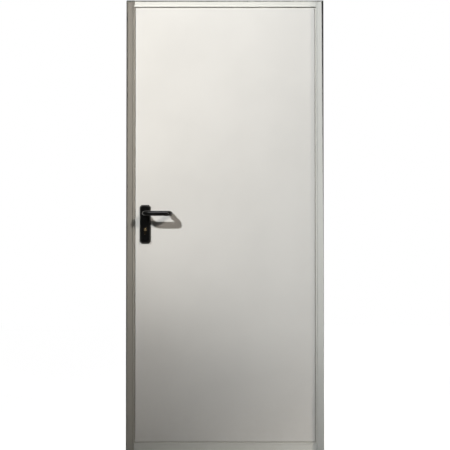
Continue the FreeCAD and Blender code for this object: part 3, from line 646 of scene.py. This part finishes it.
def make_weld(name, body, x, y, z0, z1, way, size):
    """A rippled upright fillet weld in the corner of a flank and a face behind it, rounded off at both ends."""
    length = z1 - z0
    stops = max(16, int(length / (0.7 * MM)))
    across = Vector((way, 0, 0))
    sunk = 0.1 * MM
    arc_steps = 6
    bm = bmesh.new()
    rings = []
    for stop in range(stops + 1):
        along = stop / stops * length
        turn = 2 * math.pi * along
        ripple = 1.0 + 0.10 * math.sin(turn / (2.6 * MM)) + 0.05 * math.sin(turn / (11 * MM))
        from_end = min(stop, stops - stop) / stops * length
        fade = min(1.0, math.sqrt(from_end / (1.6 * MM)) + 0.15)
        point = Vector((x, y, z0 + along))
        made = [bm.verts.new(point - (across + BACKWARD) * sunk)]
        for step in range(arc_steps + 1):
            angle = math.pi / 2 * step / arc_steps
            reach = size * ripple * fade * (0.78 + 0.10 * math.sin(2 * angle))
            made.append(bm.verts.new(point + (across * math.cos(angle) + BACKWARD * math.sin(angle)) * reach))
        rings.append(made)
    bridge(bm, rings)
    cap(bm, rings)
    add_piece(name, bm, "hinge_paint", body, 60.0)


def make_hinge_welds(label):
    """Two runs on each side of a hinge's frame half, and one along its leaf half."""
    inset, run = 4 * MM, 34 * MM
    z0, z1 = extent(f"{label}_hinge_frame_half", "z")
    runs = ((z0 + inset, z0 + inset + run), (z1 - inset - run, z1 - inset))
    for side, way in (("inner", -1), ("outer", 1)):
        x = PIN_X + way * HINGE_PLATE_HALF
        size = min(2.0 * MM, 0.9 * (cad_high.x - x))
        for spot, (a, b) in enumerate(runs):
            make_weld(f"{label}_hinge_{side}_weld_{spot}", "frame", x, FRAME_BACK, a, b, way, size)
    z0, z1 = extent(f"{label}_hinge_leaf_half", "z")
    contact = PIN_X - math.sqrt(KNUCKLE_RADIUS**2 - (PIN_Y - LEAF_BACK) ** 2)
    make_weld(f"{label}_hinge_leaf_weld", "leaf", contact, LEAF_BACK, z0 + 3 * MM, z1 - 3 * MM, -1, 1.8 * MM)


make_hinge_welds("lower")
make_hinge_welds("upper")


# Floor


def make_floor():
    """A matt floor that keeps the door's shadow and is almost white to the camera, and to metal from behind."""
    half_size, steps = 7.0, 14
    height = -0.2 * MM
    stops = [half_size * (2 * i / steps - 1) for i in range(steps + 1)]
    bm = bmesh.new()
    rows = [[bm.verts.new((x, y, height)) for y in stops] for x in stops]
    for first, second in zip(rows, rows[1:]):
        for j in range(steps):
            bm.faces.new((first[j], second[j], second[j + 1], first[j + 1]))
    n = Finish("floor")
    n.finish((0.30, 0.30, 0.295, 1.0), 0.7, n.bump(n.noise(40.0, 3.0), 0.05, 2 * MM), Specular_IOR_Level=0.1)
    x, y, _ = n.axes(n.place)
    away_squared = n.math("ADD", n.math("MULTIPLY", x, x), n.math("MULTIPLY", y, y))
    glow = n.add("ShaderNodeEmission")
    n.link(n.span(away_squared, (0.15, 1.3), (0.90, 0.985), smooth=True), glow.inputs["Strength"])
    bright = n.add("ShaderNodeAddShader")
    n.link(n.shader.outputs[0], bright.inputs[0])
    n.link(glow.outputs[0], bright.inputs[1])
    behind = n.span(y, (0.0, 0.4), (0.0, 1.0))
    n.link(n.mix_shaders(n.seen_share(behind), n.shader.outputs[0], bright.outputs[0]), n.output)
    floor = place_mesh("floor", bm, n.material)


# Flags: dark panels beside and before the frame's edges that keep the lamps off them


def rectangle(x0, x1, z0=2.0, z1=2600.0):
    """The (x, z) corners of a rectangle, from just over the floor to well over the frame if no Z is given."""
    return (x0, z0), (x1, z0), (x1, z1), (x0, z1)


# Each flag: name, its Y from and to, measured from the leaf's front, and its (x, z) corners, in millimetres
FLAGS = (
    ("flag_rim_lock", (-2.0, -1.0), rectangle(-456.0, -443.7, 2.0, 2056.0)),
    ("flag_rim_hinge", (-2.0, -1.0), ((447.5, 900.0), (456.0, 900.0), (456.0, 2056.0), (440.5, 2056.0))),
    ("flag_rim_head", (-2.0, -1.0), ((-443.7, 2046.0), (440.5, 2047.2), (440.5, 2056.0), (-443.7, 2056.0))),
    ("flag_lock_side", (-50.0, 4.0), rectangle(-453.0, -451.5)),
    ("flag_lock_edge", (-7.0, -6.0), rectangle(-444.5, -440.5)),
    ("flag_hinge_edge", (-7.0, -6.0), rectangle(442.5, 445.0)),
    ("flag_head", (-4.2, 30.0), rectangle(-451.5, 451.5, 2051.5, 2053.0)),
    ("flag_hinge_side", (-62.0, 4.0), rectangle(451.5, 453.0)),
)


def make_flag(name, depths, corners):
    """A panel unseen by the camera, by reflections and by diffuse light, that only throws its shadow."""
    bm = bmesh.new()
    rings = []
    for depth in depths:
        y = LEAF_FRONT + depth * MM
        rings.append([bm.verts.new((x * MM, y, z * MM)) for x, z in corners])
    bridge(bm, rings)
    cap(bm, rings)
    n = Finish(name)
    n.finish((0.03, 0.03, 0.03, 1.0), 0.9)
    flag = place_mesh(name, bm, n.material)
    flag.visible_camera = False
    flag.visible_glossy = False
    flag.visible_diffuse = False


make_floor()
for flag_row in FLAGS:
    make_flag(*flag_row)


# Lamps: the key lamps stand together high on the left, the fill lamps high on the right, and two light the back

KEY = (-5.963, -7.024, 7.500)
FILL = (6.637, -7.024, 6.957)
REAR_LEFT = (-2.6, 6.6, 5.2)
REAR_RIGHT = (3.4, 6.2, 4.4)
REAR_AIM = (0.0, 0.035, 1.000)
PLAIN_TINT = (1.0, 1.006, 0.998)
KEY_TINT = (1.0, 0.997, 0.975)
WARM_TINT = (1.0, 0.978, 0.920)
FILL_TINT = (1.0, 0.895, 0.775)
# Each lamp: name, place, aim, power in watts, cone in radians, blend of its edge, radius and tint
LAMPS = (
    ("key_wide", KEY, (1.500, -0.024, 3.478), 2464.3, 0.767, 0.579, 0.08, PLAIN_TINT),
    ("key_upper", KEY, (3.000, -0.024, 4.000), 1135.1, 0.767, 0.800, 0.08, PLAIN_TINT),
    ("key_middle", KEY, (-0.211, -0.024, 1.703), 1633.0, 0.200, 0.659, 0.08, WARM_TINT),
    ("key_right", KEY, (3.000, -0.024, 0.466), 1190.0, 0.586, 1.000, 0.08, KEY_TINT),
    ("fill_main", FILL, (-1.534, -0.024, 1.235), 3965.2, 0.278, 0.998, 0.7, FILL_TINT),
    ("fill_low", FILL, (0.270, -0.024, -1.500), 4500.0, 0.155, 0.445, 0.7, FILL_TINT),
    ("rear_main", REAR_LEFT, REAR_AIM, 1900.0, 0.340, 0.600, 0.5, FILL_TINT),
    ("rear_fill", REAR_RIGHT, REAR_AIM, 800.0, 0.360, 0.600, 0.8, KEY_TINT),
    ("fill_foot", FILL, (2.101, -0.024, -1.499), 1325.0, 0.489, 0.469, 0.7, FILL_TINT),
)


def make_lamp(name, place, aim, power, cone, blend, radius, tint):
    """A spot lamp. Reflections don't show the key lamps, because the softbox takes their place there."""
    lamp = bpy.data.lights.new(name, "SPOT")
    lamp.energy = power
    lamp.spot_size = cone
    lamp.spot_blend = blend
    lamp.shadow_soft_size = radius
    lamp.color = tint
    item = bpy.data.objects.new(name, lamp)
    bpy.context.scene.collection.objects.link(item)
    item.location = place
    item.visible_glossy = not name.startswith("key")
    item.rotation_mode = "QUATERNION"
    item.rotation_quaternion = (Vector(aim) - Vector(place)).to_track_quat("-Z", "Y")


for lamp_row in LAMPS:
    make_lamp(*lamp_row)


def make_softbox():
    """A long soft light high in front, seen only in glossy reflections, weaker towards its ends."""
    middle_x, middle_y, middle_z = 0.6, -3.1, 4.10
    half_length, half_height = 1.7, 0.50
    strength, end_strength = 8.0, 2.0
    slope = math.radians(44)
    rise = Vector((0, math.sin(slope), math.cos(slope))) * half_height
    steps = 16
    bm = bmesh.new()
    rows = []
    for i in range(steps + 1):
        point = Vector((middle_x + half_length * (2 * i / steps - 1), middle_y, middle_z))
        rows.append([bm.verts.new(point - rise), bm.verts.new(point + rise)])
    for first, second in zip(rows, rows[1:]):
        bm.faces.new((first[0], second[0], second[1], first[1]))
    n = Finish("softbox")
    from_middle = n.math("ABSOLUTE", n.math("SUBTRACT", n.axes(n.place)[0], middle_x))
    glow = n.add("ShaderNodeEmission")
    fading = n.span(from_middle, (0.8 * half_length, half_length), (strength, end_strength), smooth=True)
    n.link(fading, glow.inputs["Strength"])
    n.link(glow.outputs[0], n.output)
    box = place_mesh("softbox", bm, n.material)
    box.visible_camera = False
    box.visible_diffuse = False
    box.visible_shadow = False


def make_world():
    """White to the camera, a fifth of that behind the door to metal and glass, and almost no light on the door."""
    world = bpy.data.worlds.new("surroundings")
    bpy.context.scene.world = world
    world.use_nodes = True
    n = Graph(world.node_tree, "ShaderNodeOutputWorld")
    seen = n.add("ShaderNodeBackground")
    seen.inputs["Color"].default_value = (1.0, 1.0, 1.0, 1.0)
    seen.inputs["Strength"].default_value = 1.0
    lit = n.add("ShaderNodeBackground")
    lit.inputs["Color"].default_value = (1.0, 0.985, 0.96, 1.0)
    lit.inputs["Strength"].default_value = 0.012
    y = n.axes(n.add("ShaderNodeTexCoord").outputs["Generated"])[1]
    behind = n.span(y, (0.15, 0.7), (0.0, 0.2))
    n.link(n.mix_shaders(n.seen_share(behind), lit.outputs[0], seen.outputs[0]), n.output)


def make_camera():
    camera = bpy.data.cameras.new("camera")
    camera.sensor_width = 36.0
    camera.lens = 83.5
    viewer = bpy.data.objects.new("camera", camera)
    bpy.context.scene.collection.objects.link(viewer)
    viewer.location = (0.0002, -4.776, 0.944)
    viewer.rotation_euler = (math.radians(90.963), 0.0, 0.0)
    bpy.context.scene.camera = viewer


make_softbox()
make_world()
make_camera()
bpy.context.scene.view_settings.view_transform = "Standard"
